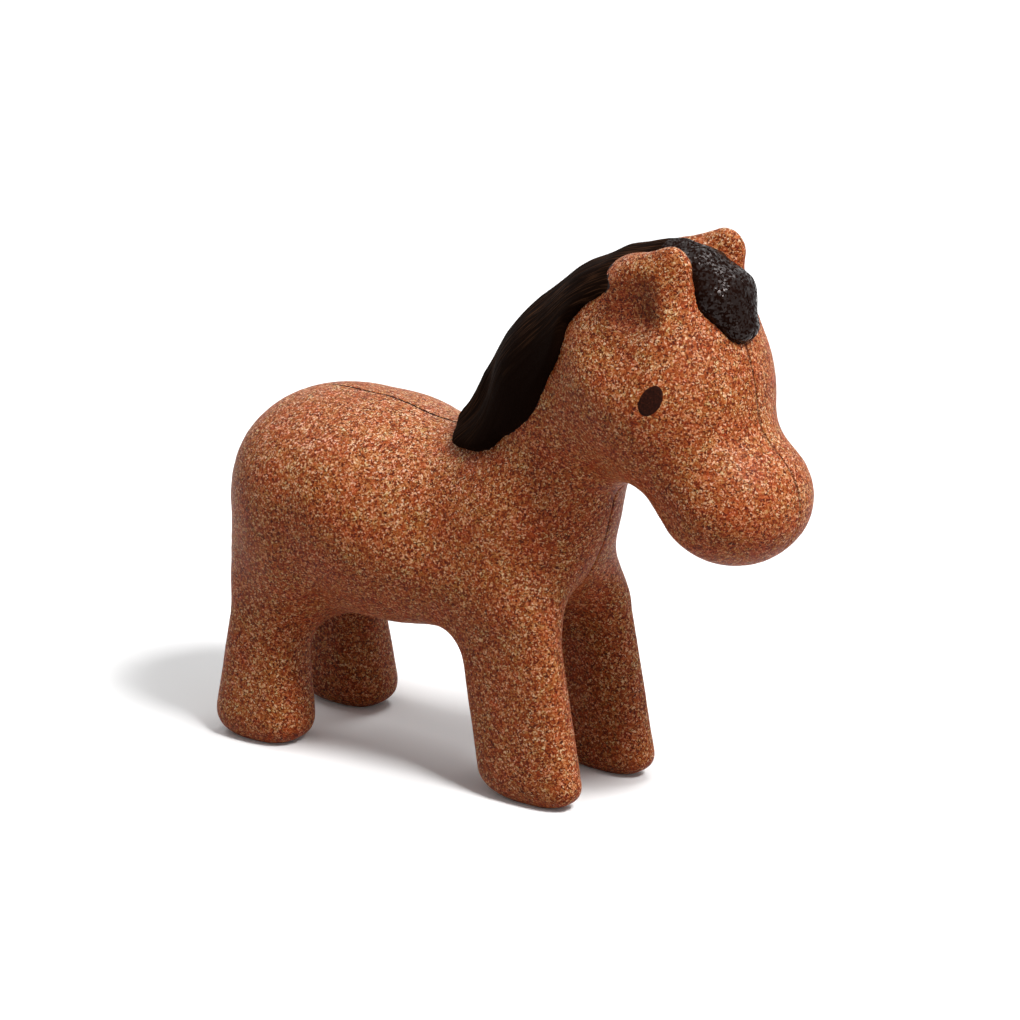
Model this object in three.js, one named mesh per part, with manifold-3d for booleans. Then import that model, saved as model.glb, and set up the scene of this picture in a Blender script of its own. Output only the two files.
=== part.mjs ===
// Toy farm horse, pressed from wood composite in two solid halves that are glued on the midplane.
// The mane with its forelock and the tail are raised areas painted dark, the eyes are dark ovals.
// Millimetres, +X towards the nose, +Z up. The feet stand on z = 0 and the midplane is y = 0.
// Places along X are counted from the middle of the rear feet while the horse is shaped, and
// the finished horse is then moved so that its origin lies under the middle of its length.

import * as THREE from 'three';
import { mergeVertices } from 'three/addons/utils/BufferGeometryUtils.js';
import Module from 'manifold-3d';

const wasm = await Module();
wasm.setup();

// Stance: the feet, and the tops of the legs inside the trunk
const wheelbase = 53.0;
const frontRake = 6.2;
const frontFootSpread = 9.7;
const frontLegTopSpread = 9.4;
const frontLegTop = 33.8;
const frontFootHalfLength = 9.3;
const frontFootHalfWidth = 3.8;
const frontLegHalfLength = 9.1;
const frontLegHalfWidth = 3.6;
const frontSoleRound = 4.8;
const rearFootSpread = 11.0;
const rearLegTopSpread = 9.0;
const rearLegTop = 29.6;
const rearFootHalfLength = 9.0;
const rearFootHalfWidth = 5.8;
const rearLegHalfLength = 5.1;
const rearLegHalfWidth = 4.0;
const rearSoleRound = 5.6;
const soleTrim = 0.5;
const legTopRound = 6.0;
const legBlend = 9.0;
const legSquareness = 2.7;

// Trunk: rump, loin and chest, each further forward than the last, under a broad flat back
const rumpAhead = 8.2;
const rumpHeight = 39.2;
const rumpRadius = 17.9;
const loinReach = 13.4;
const loinHeight = 39.0;
const loinRadius = 15.8;
const chestReach = 20.5;
const chestHeight = 40.6;
const chestRadius = 12.5;
const croupBack = 5.3;
const croupRise = 6.6;
const croupRadius = 7.0;
const backReach = 12.2;
const backRise = 6.2;
const backRadius = 9.8;
const trunkBlend = 6.0;
const rumpWidthShare = 1.05;
const chestWidthShare = 1.06;
const backWidthShare = 1.67;

// Neck: from the chest up to the nape, with the arch that carries the mane behind it
const neckReach = 7.0;
const neckRise = 8.7;
const neckRadius = 11.1;
const throatReach = 5.7;
const throatRise = 14.5;
const throatRadius = 11.8;
const napeReach = 11.8;
const napeRise = 10.8;
const napeRadius = 12.4;
const archAhead = 0.2;
const archRise = 6.5;
const archRadius = 6.1;
const pollBack = 2.6;
const pollRise = 12.1;
const pollRadius = 5.8;
const neckBlend = 12.0;
const napeBlend = 4.0;
const archBlend = 6.0;
const neckWidthShare = 0.86;

// Head: skull, cheek and muzzle, with a soft hollow in each temple under the ear
const headReach = 5.4;
const headDrop = 4.4;
const headRadius = 15.0;
const headWidthShare = 1.07;
const templeRise = 8.0;
const templeOut = 20.8;
const templeRadius = 4.2;
const templeStretchShare = 1.33;
const templeRound = 8.0;
const cheekReach = 3.3;
const cheekDrop = 7.0;
const cheekRadius = 11.2;
const cheekWidthShare = 1.06;
const muzzleReach = 11.9;
const muzzleDrop = 16.7;
const muzzleRadius = 10.6;
const muzzleStretchShare = 1.12;
const cheekBlend = 6.0;
const muzzleBlend = 5.0;
const headBlend = 8.0;

// Ears: a broad lobe with a smaller tip in front of it
const earReach = 0.4;
const earRise = 13.3;
const earSpread = 6.7;
const earRadius = 7.0;
const earTipReach = 4.4;
const earTipRise = 5.8;
const earTipSpread = 7.0;
const earTipRadius = 3.4;
const earThicknessShare = 0.54;
const earBlend = 4.0;

// Mane: a leaf along the crest of the neck, narrow between the ears
const maneRelief = 1.4;
const crestRadius = 3.2;
const pollCrestRadius = 1.8;
const crestBlend = 3.0;
const maneEdgeRound = 2.0;
const witherBack = 5.5;
const witherRise = 16.3;
const pollAhead = 1.7;
const pollStand = 4.7;
const crestStartPull = 14.7;
const crestEndPull = 18.2;
const crestStartAngle = 72.5;
const crestEndAngle = 16.2;
const maneFlank = 11.0;
const maneFlankShares = [0.2, 0.84, 1.04, 0.86, 0.34, 0.22, 0.2];
const flankBlend = 2.0;

// Forelock: a broad drop that hangs from the poll onto the forehead
const forelockReach = 5.6;
const forelockStand = 2.4;
const forelockRadius = 3.5;
const forelockMiddleForward = 3.7;
const forelockMiddleFall = 3.1;
const forelockMiddleRadius = 3.8;
const forelockTipForward = 3.3;
const forelockTipFall = 4.5;
const forelockTipRadius = 2.4;
const forelockWidthShare = 1.44;
const forelockBend = 2.0;
const forelockBlend = 2.5;

// Tail: a drop down the back of the rump
const tailTopRise = 5.0;
const tailTopRadius = 2.4;
const tailMiddleDrop = 2.0;
const tailMiddleRadius = 4.4;
const tailTipDrop = 14.0;
const tailTipRadius = 2.2;
const tailRelief = 1.8;
const tailEdgeRound = 2.0;
const tailFront = 9.0;

// Eyes: upright ovals that lean towards the nose
const eyeAhead = 6.3;
const eyeRise = 0.5;
const eyeHalfHeight = 2.7;
const eyeHalfLength = 1.8;
const eyeDepth = 1.0;
const eyeLean = 30;
const eyeSides = 24;

// Fit between a painted area and the body that carries it, and the fineness of the surfaces
const clearance = 0.3;
const trunkStep = 3.1;
const headStep = 2.3;
const earStep = 1.5;
const soleStep = 2.0;
const maneStep = 1.5;
const tailStep = 1.7;
const margin = 4.0;
const probe = 0.02;
const weld = 0.06;
const cellInsetShare = 0.06;

// The balls that the body is drawn from, each placed by the one that carries it
const rump = { x: rumpAhead, y: 0, z: rumpHeight, r: rumpRadius };
const loin = { x: rump.x + loinReach, y: 0, z: loinHeight, r: loinRadius };
const croup = { x: rump.x - croupBack, y: 0, z: rump.z + croupRise, r: croupRadius };
const back = { x: croup.x + backReach, y: 0, z: loin.z + backRise, r: backRadius };
const chest = { x: loin.x + chestReach, y: 0, z: chestHeight, r: chestRadius };
const neck = { x: chest.x + neckReach, y: 0, z: chest.z + neckRise, r: neckRadius };
const throat = { x: neck.x + throatReach, y: 0, z: neck.z + throatRise, r: throatRadius };
const nape = { x: throat.x + napeReach, y: 0, z: throat.z + napeRise, r: napeRadius };
const head = { x: nape.x + headReach, y: 0, z: nape.z - headDrop, r: headRadius };
const arch = { x: throat.x + archAhead, y: 0, z: throat.z + archRise, r: archRadius };
const poll = { x: head.x - pollBack, y: 0, z: head.z + pollRise, r: pollRadius };
const cheek = { x: head.x + cheekReach, y: 0, z: head.z - cheekDrop, r: cheekRadius };
const muzzle = { x: head.x + muzzleReach, y: 0, z: head.z - muzzleDrop, r: muzzleRadius };
const ear = { x: head.x + earReach, y: earSpread, z: head.z + earRise, r: earRadius };
const earTip = { x: ear.x + earTipReach, y: earTipSpread, z: ear.z + earTipRise, r: earTipRadius };
const temple = { x: head.x, y: templeOut, z: head.z + templeRise, r: templeRadius };
const forelock = {
  x: head.x + forelockReach,
  y: 0,
  z: head.z + head.r + forelockStand,
  r: forelockRadius,
};
const forelockMiddle = {
  x: forelock.x + forelockMiddleForward,
  y: 0,
  z: forelock.z - forelockMiddleFall,
  r: forelockMiddleRadius,
};
const forelockTip = {
  x: forelockMiddle.x + forelockTipForward,
  y: 0,
  z: forelockMiddle.z - forelockTipFall,
  r: forelockTipRadius,
};
const frontLeg = {
  topX: wheelbase - frontRake,
  topY: frontLegTopSpread,
  topZ: frontLegTop,
  topHalfLength: frontLegHalfLength,
  topHalfWidth: frontLegHalfWidth,
  footX: wheelbase,
  footY: frontFootSpread,
  footHalfLength: frontFootHalfLength,
  footHalfWidth: frontFootHalfWidth,
  soleRound: frontSoleRound,
};
const rearLeg = {
  topX: 0,
  topY: rearLegTopSpread,
  topZ: rearLegTop,
  topHalfLength: rearLegHalfLength,
  topHalfWidth: rearLegHalfWidth,
  footX: 0,
  footY: rearFootSpread,
  footHalfLength: rearFootHalfLength,
  footHalfWidth: rearFootHalfWidth,
  soleRound: rearSoleRound,
};

// Every form below is a signed distance: negative inside, zero on the surface.
// A blend joins two forms with a fillet of the given reach, and a cut rounds the edge it leaves.
function blend(a, b, reach) {
  const h = Math.max(reach - Math.abs(a - b), 0) / reach;
  return Math.min(a, b) - (h * h * reach) / 4;
}

function cut(a, b, reach) {
  return -blend(-a, -b, reach);
}

// A limb is the hull of two balls, made wider or narrower across the horse by a share
function limb(x, y, z, from, to, widthShare) {
  const bx = to.x - from.x;
  const by = (to.y - from.y) / widthShare;
  const bz = to.z - from.z;
  const px = x - from.x;
  const py = (y - from.y) / widthShare;
  const pz = z - from.z;
  const shrink = Math.min(1, widthShare);
  const length2 = bx * bx + by * by + bz * bz;
  const fall = from.r - to.r;
  if (length2 <= fall * fall) {
    const inner = Math.hypot(px, py, pz) - from.r;
    const outer = Math.hypot(px - bx, py - by, pz - bz) - to.r;
    return Math.min(inner, outer) * shrink;
  }
  const slope2 = length2 - fall * fall;
  const along = px * bx + py * by + pz * bz;
  const beyond = along - length2;
  const qx = px * length2 - bx * along;
  const qy = py * length2 - by * along;
  const qz = pz * length2 - bz * along;
  const across2 = qx * qx + qy * qy + qz * qz;
  const side = Math.sign(fall) * fall * fall * across2;
  if (Math.sign(beyond) * slope2 * beyond * beyond * length2 > side) {
    return (Math.sqrt(across2 + beyond * beyond * length2) / length2 - to.r) * shrink;
  }
  if (Math.sign(along) * slope2 * along * along * length2 < side) {
    return (Math.sqrt(across2 + along * along * length2) / length2 - from.r) * shrink;
  }
  return ((Math.sqrt((across2 * slope2) / length2) + along * fall) / length2 - from.r) * shrink;
}

// A ball stretched along and across the horse
function ball(x, y, z, centre, lengthShare, widthShare) {
  const rx = centre.r * lengthShare;
  const ry = centre.r * widthShare;
  const qx = (x - centre.x) / rx;
  const qy = (y - centre.y) / ry;
  const qz = (z - centre.z) / centre.r;
  const size = Math.hypot(qx, qy, qz);
  const steepness = Math.hypot(qx / rx, qy / ry, qz / centre.r);
  return steepness > 0 ? (size * (size - 1)) / steepness : -centre.r;
}

// A leg is an upright column with a rounded square section and a flat sole on the ground
function legForm(x, y, z, leg) {
  const t = Math.min(Math.max(z / leg.topZ, 0), 1);
  const halfLength = leg.footHalfLength + (leg.topHalfLength - leg.footHalfLength) * t;
  const halfWidth = leg.footHalfWidth + (leg.topHalfWidth - leg.footHalfWidth) * t;
  const dx = Math.abs(x - leg.footX - (leg.topX - leg.footX) * t) / halfLength;
  const dy = Math.abs(y - leg.footY - (leg.topY - leg.footY) * t) / halfWidth;
  const ring = Math.pow(Math.pow(dx, legSquareness) + Math.pow(dy, legSquareness), 1 / legSquareness);
  const wall = (ring - 1) * Math.min(halfLength, halfWidth);
  return cut(cut(wall, -z - soleTrim, leg.soleRound), z - leg.topZ, legTopRound);
}

// Trunk, neck and head run into each other along the midplane
function torso(x, y, z) {
  let form = limb(x, y, z, rump, loin, rumpWidthShare);
  form = blend(form, limb(x, y, z, loin, chest, chestWidthShare), trunkBlend);
  form = blend(form, limb(x, y, z, croup, back, backWidthShare), trunkBlend);
  let neckForm = limb(x, y, z, neck, throat, neckWidthShare);
  neckForm = blend(neckForm, limb(x, y, z, throat, nape, neckWidthShare), napeBlend);
  neckForm = blend(neckForm, limb(x, y, z, arch, poll, neckWidthShare), archBlend);
  form = blend(form, neckForm, neckBlend);
  let face = ball(x, y, z, head, 1, headWidthShare);
  face = blend(face, ball(x, y, z, cheek, 1, cheekWidthShare), cheekBlend);
  face = blend(face, ball(x, y, z, muzzle, muzzleStretchShare, muzzleStretchShare), muzzleBlend);
  form = blend(form, face, headBlend);
  return cut(form, -ball(x, y, z, temple, templeStretchShare, templeStretchShare), templeRound);
}

function bodyForm(x, y, z) {
  let form = torso(x, y, z);
  form = blend(form, legForm(x, y, z, frontLeg), legBlend);
  form = blend(form, legForm(x, y, z, rearLeg), legBlend);
  return blend(form, limb(x, y, z, ear, earTip, earThicknessShare), earBlend);
}

// The crest line runs from the withers to the poll, and the mane's leaf lies along it
const withers = new THREE.Vector2(chest.x - witherBack, chest.z + witherRise);
const pollEnd = new THREE.Vector2(head.x + pollAhead, head.z + head.r + pollStand);
const startAngle = THREE.MathUtils.degToRad(crestStartAngle);
const endAngle = THREE.MathUtils.degToRad(crestEndAngle);
const crestLine = new THREE.CubicBezierCurve(
  withers,
  new THREE.Vector2(
    withers.x + crestStartPull * Math.cos(startAngle),
    withers.y + crestStartPull * Math.sin(startAngle)
  ),
  new THREE.Vector2(
    pollEnd.x - crestEndPull * Math.cos(endAngle),
    pollEnd.y - crestEndPull * Math.sin(endAngle)
  ),
  pollEnd
);
const crestPlaces = maneFlankShares.map((share, i) => i / (maneFlankShares.length - 1));
const crest = crestPlaces.map((t) => {
  const point = crestLine.getPoint(t);
  return { x: point.x, y: 0, z: point.y, r: crestRadius + (pollCrestRadius - crestRadius) * t };
});
const leaf = maneFlankShares.map((share, i) => ({ u: crest[i].x, v: crest[i].z, r: share * maneFlank }));
const tailLeaf = [
  { u: 0, v: rump.z + tailTopRise, r: tailTopRadius },
  { u: 0, v: rump.z - tailMiddleDrop, r: tailMiddleRadius },
  { u: 0, v: rump.z - tailTipDrop, r: tailTipRadius },
];

// An outline in a flat view, drawn as a row of discs with straight sides between them
function outline(u, v, discs, reach) {
  let form = Infinity;
  for (let i = 0; i + 1 < discs.length; i += 1) {
    const a = discs[i];
    const b = discs[i + 1];
    const bu = b.u - a.u;
    const bv = b.v - a.v;
    const t = ((u - a.u) * bu + (v - a.v) * bv) / (bu * bu + bv * bv);
    const s = Math.min(Math.max(t, 0), 1);
    const link = Math.hypot(u - a.u - bu * s, v - a.v - bv * s) - a.r - (b.r - a.r) * s;
    form = i === 0 ? link : blend(form, link, reach);
  }
  return form;
}

// The mane stands out from the neck inside its leaf, with a round ridge along the crest
function maneForm(x, y, z) {
  let ridge = Infinity;
  for (let i = 0; i + 1 < crest.length; i += 1) {
    ridge = Math.min(ridge, limb(x, y, z, crest[i], crest[i + 1], 1));
  }
  const raised = torso(x, y, z) - maneRelief;
  let form = cut(raised, outline(x, z, leaf, flankBlend), maneEdgeRound);
  form = blend(form, ridge, crestBlend);
  const upperLock = limb(x, y, z, forelock, forelockMiddle, forelockWidthShare);
  const lowerLock = limb(x, y, z, forelockMiddle, forelockTip, forelockWidthShare);
  return blend(form, blend(upperLock, lowerLock, forelockBend), forelockBlend);
}

function tailForm(x, y, z) {
  const raised = cut(torso(x, y, z) - tailRelief, x - rump.x + tailFront, tailEdgeRound);
  return cut(raised, outline(y, z, tailLeaf, tailEdgeRound), tailEdgeRound);
}

// Grid lines from one place to another, with a step that may change on the way
function gridLines(from, to, stepAt) {
  const lines = [from];
  while (lines[lines.length - 1] < to) {
    const last = lines[lines.length - 1];
    lines.push(last + stepAt(last));
  }
  return lines;
}

// The left half of a form, y from the midplane outwards, as a net of quads: one point in each
// grid cell that the surface crosses, drawn onto the surface. The first cells lie across the
// midplane, so their points lie on it and the half ends in a flat rim.
function halfNet(form, xs, ys, zs) {
  const value = xs.map((x) => ys.map((y) => zs.map((z) => form(x, Math.abs(y), z))));
  fillCrossedFaces(value);
  const points = [];
  const pointAt = new Map();
  const key = (i, j, k) => (i * ys.length + j) * zs.length + k;
  for (let i = 0; i + 1 < xs.length; i += 1) {
    for (let j = 0; j + 1 < ys.length; j += 1) {
      for (let k = 0; k + 1 < zs.length; k += 1) {
        const point = cellPoint(form, value, xs, ys, zs, i, j, k);
        if (point === null) continue;
        pointAt.set(key(i, j, k), points.length);
        points.push(point);
      }
    }
  }
  const triangles = [];
  const addQuad = (inside, other, cells) => {
    if (inside === other || cells.flat().includes(-1)) return;
    const quad = cells.map(([i, j, k]) => pointAt.get(key(i, j, k)));
    const [a, b, c, d] = inside ? quad : quad.reverse();
    const short = points[a].distanceTo(points[c]) <= points[b].distanceTo(points[d]);
    triangles.push(...(short ? [a, b, c, a, c, d] : [b, c, d, b, d, a]));
  };
  for (let i = 0; i + 1 < xs.length; i += 1) {
    for (let j = 0; j + 1 < ys.length; j += 1) {
      for (let k = 0; k + 1 < zs.length; k += 1) {
        const inside = value[i][j][k] < 0;
        const here = [i, j, k];
        addQuad(inside, value[i + 1][j][k] < 0, [[i, j - 1, k - 1], [i, j, k - 1], here, [i, j - 1, k]]);
        addQuad(inside, value[i][j + 1][k] < 0, [[i - 1, j, k - 1], [i - 1, j, k], here, [i, j, k - 1]]);
        addQuad(inside, value[i][j][k + 1] < 0, [[i - 1, j - 1, k], [i, j - 1, k], here, [i - 1, j, k]]);
      }
    }
  }
  return { points, triangles };
}

// A grid face whose corners are in and out by turns would join two sheets of the net along one
// edge, so its outer corner nearest the surface counts as in
function fillCrossedFaces(value) {
  const sides = [[[1, 0, 0], [0, 1, 0]], [[1, 0, 0], [0, 0, 1]], [[0, 1, 0], [0, 0, 1]]];
  let filled = true;
  while (filled) {
    filled = false;
    for (let i = 0; i < value.length; i += 1) {
      for (let j = 0; j < value[0].length; j += 1) {
        for (let k = 0; k < value[0][0].length; k += 1) {
          for (const [right, up] of sides) {
            const ring = [[0, 0], [1, 0], [1, 1], [0, 1]].map(([u, v]) => (
              [i, j, k].map((start, axis) => start + u * right[axis] + v * up[axis])
            ));
            const [a, b, c, d] = ring.map(([x, y, z]) => value[x]?.[y]?.[z]);
            if (c === undefined || a < 0 !== c < 0 || b < 0 !== d < 0 || a < 0 === b < 0) continue;
            const [one, other] = a < 0 ? [1, 3] : [0, 2];
            const [x, y, z] = (a < 0 ? b < d : a < c) ? ring[one] : ring[other];
            const turned = -Math.max(value[x][y][z], Number.EPSILON);
            value[x][y][z] = turned;
            if (y < 2) value[x][1 - y][z] = turned;
            filled = true;
          }
        }
      }
    }
  }
}

// The mean of the places where the surface crosses a cell's edges, then drawn onto the surface
function cellPoint(form, value, xs, ys, zs, i, j, k) {
  const sum = new THREE.Vector3();
  let crossings = 0;
  for (let corner = 0; corner < 8; corner += 1) {
    const a = [i + (corner & 1), j + ((corner >> 1) & 1), k + (corner >> 2)];
    for (const bit of [1, 2, 4]) {
      if (corner & bit) continue;
      const other = corner | bit;
      const b = [i + (other & 1), j + ((other >> 1) & 1), k + (other >> 2)];
      const va = value[a[0]][a[1]][a[2]];
      const vb = value[b[0]][b[1]][b[2]];
      if (va < 0 === vb < 0) continue;
      const t = va / (va - vb);
      sum.x += xs[a[0]] + (xs[b[0]] - xs[a[0]]) * t;
      sum.y += ys[a[1]] + (ys[b[1]] - ys[a[1]]) * t;
      sum.z += zs[a[2]] + (zs[b[2]] - zs[a[2]]) * t;
      crossings += 1;
    }
  }
  if (crossings === 0) return null;
  const point = sum.divideScalar(crossings);
  for (let pass = 0; pass < 4; pass += 1) {
    if (j === 0) point.y = 0;
    const slope = slopeAt(form, point);
    if (j === 0) slope.y = 0;
    const steep = slope.lengthSq();
    if (steep === 0) break;
    point.addScaledVector(slope, -form(point.x, point.y, point.z) / steep);
    point.x = withinCell(point.x, xs[i], xs[i + 1]);
    point.y = j === 0 ? 0 : withinCell(point.y, ys[j], ys[j + 1]);
    point.z = withinCell(point.z, zs[k], zs[k + 1]);
  }
  return point;
}

// A point keeps off the walls of its cell, so that no two points of the net meet
function withinCell(place, low, high) {
  const inset = (high - low) * cellInsetShare;
  return Math.min(Math.max(place, low + inset), high - inset);
}

function slopeAt(form, p) {
  const slope = new THREE.Vector3(
    form(p.x + probe, p.y, p.z) - form(p.x - probe, p.y, p.z),
    form(p.x, p.y + probe, p.z) - form(p.x, p.y - probe, p.z),
    form(p.x, p.y, p.z + probe) - form(p.x, p.y, p.z - probe)
  );
  return slope.divideScalar(2 * probe);
}

// Rim loops: edges of the net that only one triangle uses, joined end to end
function rimLoops(triangles) {
  const used = new Set();
  for (let t = 0; t < triangles.length; t += 1) {
    const next = t % 3 === 2 ? t - 2 : t + 1;
    used.add(`${triangles[t]} ${triangles[next]}`);
  }
  const after = new Map();
  for (const edge of used) {
    const [a, b] = edge.split(' ').map(Number);
    if (!used.has(`${b} ${a}`)) after.set(b, a);
  }
  const loops = [];
  while (after.size > 0) {
    const loop = [];
    let at = after.keys().next().value;
    while (after.has(at)) {
      loop.push(at);
      const next = after.get(at);
      after.delete(at);
      at = next;
    }
    loops.push(loop);
  }
  return loops;
}

// A half closed by a flat face on the midplane
function halfGeometry(net) {
  const triangles = [...net.triangles];
  for (const loop of rimLoops(net.triangles)) {
    const contour = loop.map((n) => new THREE.Vector2(net.points[n].x, net.points[n].z));
    const forward = THREE.ShapeUtils.area(contour) < 0;
    for (const face of THREE.ShapeUtils.triangulateShape(contour, [])) {
      const [a, b, c] = face.map((n) => contour[n]);
      const turn = (b.x - a.x) * (c.y - a.y) - (b.y - a.y) * (c.x - a.x);
      const same = turn > 0 !== forward;
      triangles.push(...(same ? face : [face[0], face[2], face[1]]).map((n) => loop[n]));
    }
  }
  return geometryOf(net.points, triangles);
}

// Both halves in one closed skin, without the face between them
function wholeGeometry(net) {
  const points = net.points.map((p) => p.clone());
  const twin = net.points.map((p, n) => {
    if (p.y === 0) return n;
    points.push(new THREE.Vector3(p.x, -p.y, p.z));
    return points.length - 1;
  });
  const triangles = [...net.triangles];
  for (let t = 0; t < net.triangles.length; t += 3) {
    const [a, b, c] = net.triangles.slice(t, t + 3).map((n) => twin[n]);
    triangles.push(a, c, b);
  }
  return geometryOf(points, triangles);
}

function geometryOf(points, triangles) {
  const geometry = new THREE.BufferGeometry().setFromPoints(points);
  geometry.setIndex(triangles);
  return geometry;
}

function solidOf(geometry) {
  const bare = geometry.clone();
  bare.deleteAttribute('normal');
  bare.deleteAttribute('uv');
  const merged = mergeVertices(bare, probe * probe);
  const vertProperties = new Float32Array(merged.attributes.position.array);
  const triVerts = new Uint32Array(merged.index.array);
  return new wasm.Manifold(new wasm.Mesh({ numProp: 3, vertProperties, triVerts }));
}

// How many of the horse's flat faces, the joint and the ground, a point lies on
function flatsAt(point) {
  return Number(point.y === 0) + Number(point.z === 0);
}

// The solid's own triangles, with edges shorter than the weld drawn together into one point.
// An edge is only drawn together where its two ends share no neighbours but the two opposite
// corners, so the surface stays closed, and it is drawn to the end that lies on a flat face.
function geometryFrom(solid) {
  const mesh = solid.getMesh();
  const points = [];
  for (let n = 0; n < mesh.vertProperties.length; n += 3) {
    points.push(new THREE.Vector3().fromArray(mesh.vertProperties, n));
  }
  const facesAt = points.map(() => new Set());
  const addFace = (face) => face.forEach((corner) => facesAt[corner].add(face));
  const dropFace = (face) => face.forEach((corner) => facesAt[corner].delete(face));
  for (let t = 0; t < mesh.triVerts.length; t += 3) {
    addFace(Array.from(mesh.triVerts.slice(t, t + 3)));
  }
  const neighbours = (corner) => new Set([...facesAt[corner]].flat());
  for (let a = 0; a < points.length; a += 1) {
    for (const b of neighbours(a)) {
      if (b === a || points[a].distanceTo(points[b]) > weld) continue;
      const near = neighbours(a);
      const shared = [...neighbours(b)].filter((corner) => near.has(corner));
      if (!near.has(b) || shared.length !== 4) continue;
      if (flatsAt(points[b]) > flatsAt(points[a])) points[a].copy(points[b]);
      for (const face of [...facesAt[b]]) {
        dropFace(face);
        if (!face.includes(a)) addFace(face.map((corner) => (corner === b ? a : corner)));
      }
    }
  }
  const faces = new Set(facesAt.flatMap((set) => [...set]));
  return mergeVertices(geometryOf(points, [...faces].flat()), probe * probe);
}

// The other side of the horse
function mirrored(geometry) {
  const other = geometry.clone();
  other.scale(1, -1, 1);
  const index = Array.from(other.index.array);
  for (let t = 0; t < index.length; t += 3) {
    [index[t + 1], index[t + 2]] = [index[t + 2], index[t + 1]];
  }
  other.setIndex(index);
  return other;
}

// Grid over the whole horse: finer round the head, the ears and the soles than on the trunk
const rearEnd = Math.min(rump.x - rump.r, -rearLeg.footHalfLength) - margin;
const frontEnd = Math.max(muzzle.x + muzzle.r * muzzleStretchShare, wheelbase + frontFootHalfLength) + margin;
const widest = Math.max(
  rump.r * rumpWidthShare,
  head.r * headWidthShare,
  rearFootSpread + rearFootHalfWidth,
  frontFootSpread + frontFootHalfWidth
) + margin;
const highest = Math.max(earTip.z + earTip.r, pollEnd.y) + margin;
const bodyXs = gridLines(rearEnd, frontEnd, (x) => (x < nape.x ? trunkStep : headStep));
const bodyYs = gridLines(-headStep / 2, widest, (y) => (
  Math.abs(y - earTipSpread) < earTipRadius ? earStep : headStep
));
const bodyZs = gridLines(-soleStep / 2, highest, (z) => {
  if (z < rearSoleRound) return soleStep;
  if (z > ear.z) return earStep;
  return z < chest.z + chest.r ? trunkStep : headStep;
});

// Body half without its eye: the pressed composite with trunk, neck, head, ear and two legs.
// The round soles are trimmed flat where they stand on the ground.
function bodyBlank() {
  const pressed = solidOf(halfGeometry(halfNet(bodyForm, bodyXs, bodyYs, bodyZs)));
  const ground = new THREE.BoxGeometry(frontEnd - rearEnd, 2 * widest, margin);
  ground.translate((frontEnd + rearEnd) / 2, 0, -margin / 2);
  return pressed.subtract(solidOf(ground));
}

// What a painted area has to keep clear of: the body grown by the clearance
function bodyGrown() {
  const grown = (x, y, z) => bodyForm(x, y, z) - clearance;
  return solidOf(wholeGeometry(halfNet(grown, bodyXs, bodyYs, bodyZs)));
}

// Half of the mane and forelock, seated on the neck and the top of the head
function maneHalf(keepOff) {
  const xs = gridLines(withers.x - crestRadius - margin, forelockTip.x + forelockTip.r + margin, () => maneStep);
  const ys = gridLines(-maneStep / 2, widest, () => maneStep);
  const zs = gridLines(withers.y - maneFlank, highest, () => maneStep);
  const blank = solidOf(halfGeometry(halfNet(maneForm, xs, ys, zs)));
  return geometryFrom(blank.subtract(keepOff));
}

// Half of the tail, seated on the back of the rump
function tailHalf(keepOff) {
  const xs = gridLines(rearEnd, rump.x + margin, () => tailStep);
  const ys = gridLines(-tailStep / 2, tailMiddleRadius + margin, () => tailStep);
  const low = tailLeaf[tailLeaf.length - 1];
  const zs = gridLines(low.v - low.r - margin, tailLeaf[0].v + tailLeaf[0].r + margin, () => tailStep);
  const blank = solidOf(halfGeometry(halfNet(tailForm, xs, ys, zs)));
  return geometryFrom(blank.subtract(keepOff));
}

// An oval plug square to the side of the head, as deep as asked and standing well clear outside
function eyePlug(halfLength, halfHeight, depth) {
  const place = new THREE.Vector3(head.x + eyeAhead, 0, head.z + eyeRise);
  let inside = 0;
  let outside = widest;
  for (let pass = 0; pass < 40; pass += 1) {
    const middle = (inside + outside) / 2;
    if (bodyForm(place.x, middle, place.z) < 0) inside = middle;
    else outside = middle;
  }
  place.y = inside;
  const out = slopeAt(bodyForm, place).normalize();
  const lean = THREE.MathUtils.degToRad(eyeLean);
  const up = new THREE.Vector3(Math.sin(lean), 0, Math.cos(lean));
  up.addScaledVector(out, -up.dot(out)).normalize();
  const along = new THREE.Vector3().crossVectors(out, up);
  const height = depth + margin;
  const plug = new THREE.CylinderGeometry(1, 1, height, eyeSides);
  plug.scale(halfLength, 1, halfHeight);
  plug.translate(0, margin - height / 2, 0);
  plug.applyMatrix4(new THREE.Matrix4().makeBasis(along, out, up).setPosition(place));
  return solidOf(plug);
}

const composite = new THREE.MeshStandardMaterial({ color: 0xa9633f, roughness: 0.9, metalness: 0 });
const manePaint = new THREE.MeshStandardMaterial({ color: 0x231a17, roughness: 0.45, metalness: 0 });
const eyeInk = new THREE.MeshStandardMaterial({ color: 0x34211a, roughness: 0.6, metalness: 0 });

const horse = new THREE.Group();

function addPair(name, leftGeometry, material) {
  for (const side of ['right', 'left']) {
    const geometry = side === 'left' ? leftGeometry : mirrored(leftGeometry);
    geometry.computeVertexNormals();
    const mesh = new THREE.Mesh(geometry, material.clone());
    mesh.name = `${name}_${side}`;
    horse.add(mesh);
  }
}

const blank = bodyBlank();
const socket = eyePlug(eyeHalfLength + clearance, eyeHalfHeight + clearance, eyeDepth + clearance);
const eye = eyePlug(eyeHalfLength, eyeHalfHeight, eyeDepth);
const keepOff = bodyGrown();

addPair('body_half', geometryFrom(blank.subtract(socket)), composite);
addPair('mane_half', maneHalf(keepOff), manePaint);
addPair('tail_half', tailHalf(keepOff), manePaint);
addPair('eye', geometryFrom(eye.intersect(blank)), eyeInk);

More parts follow.
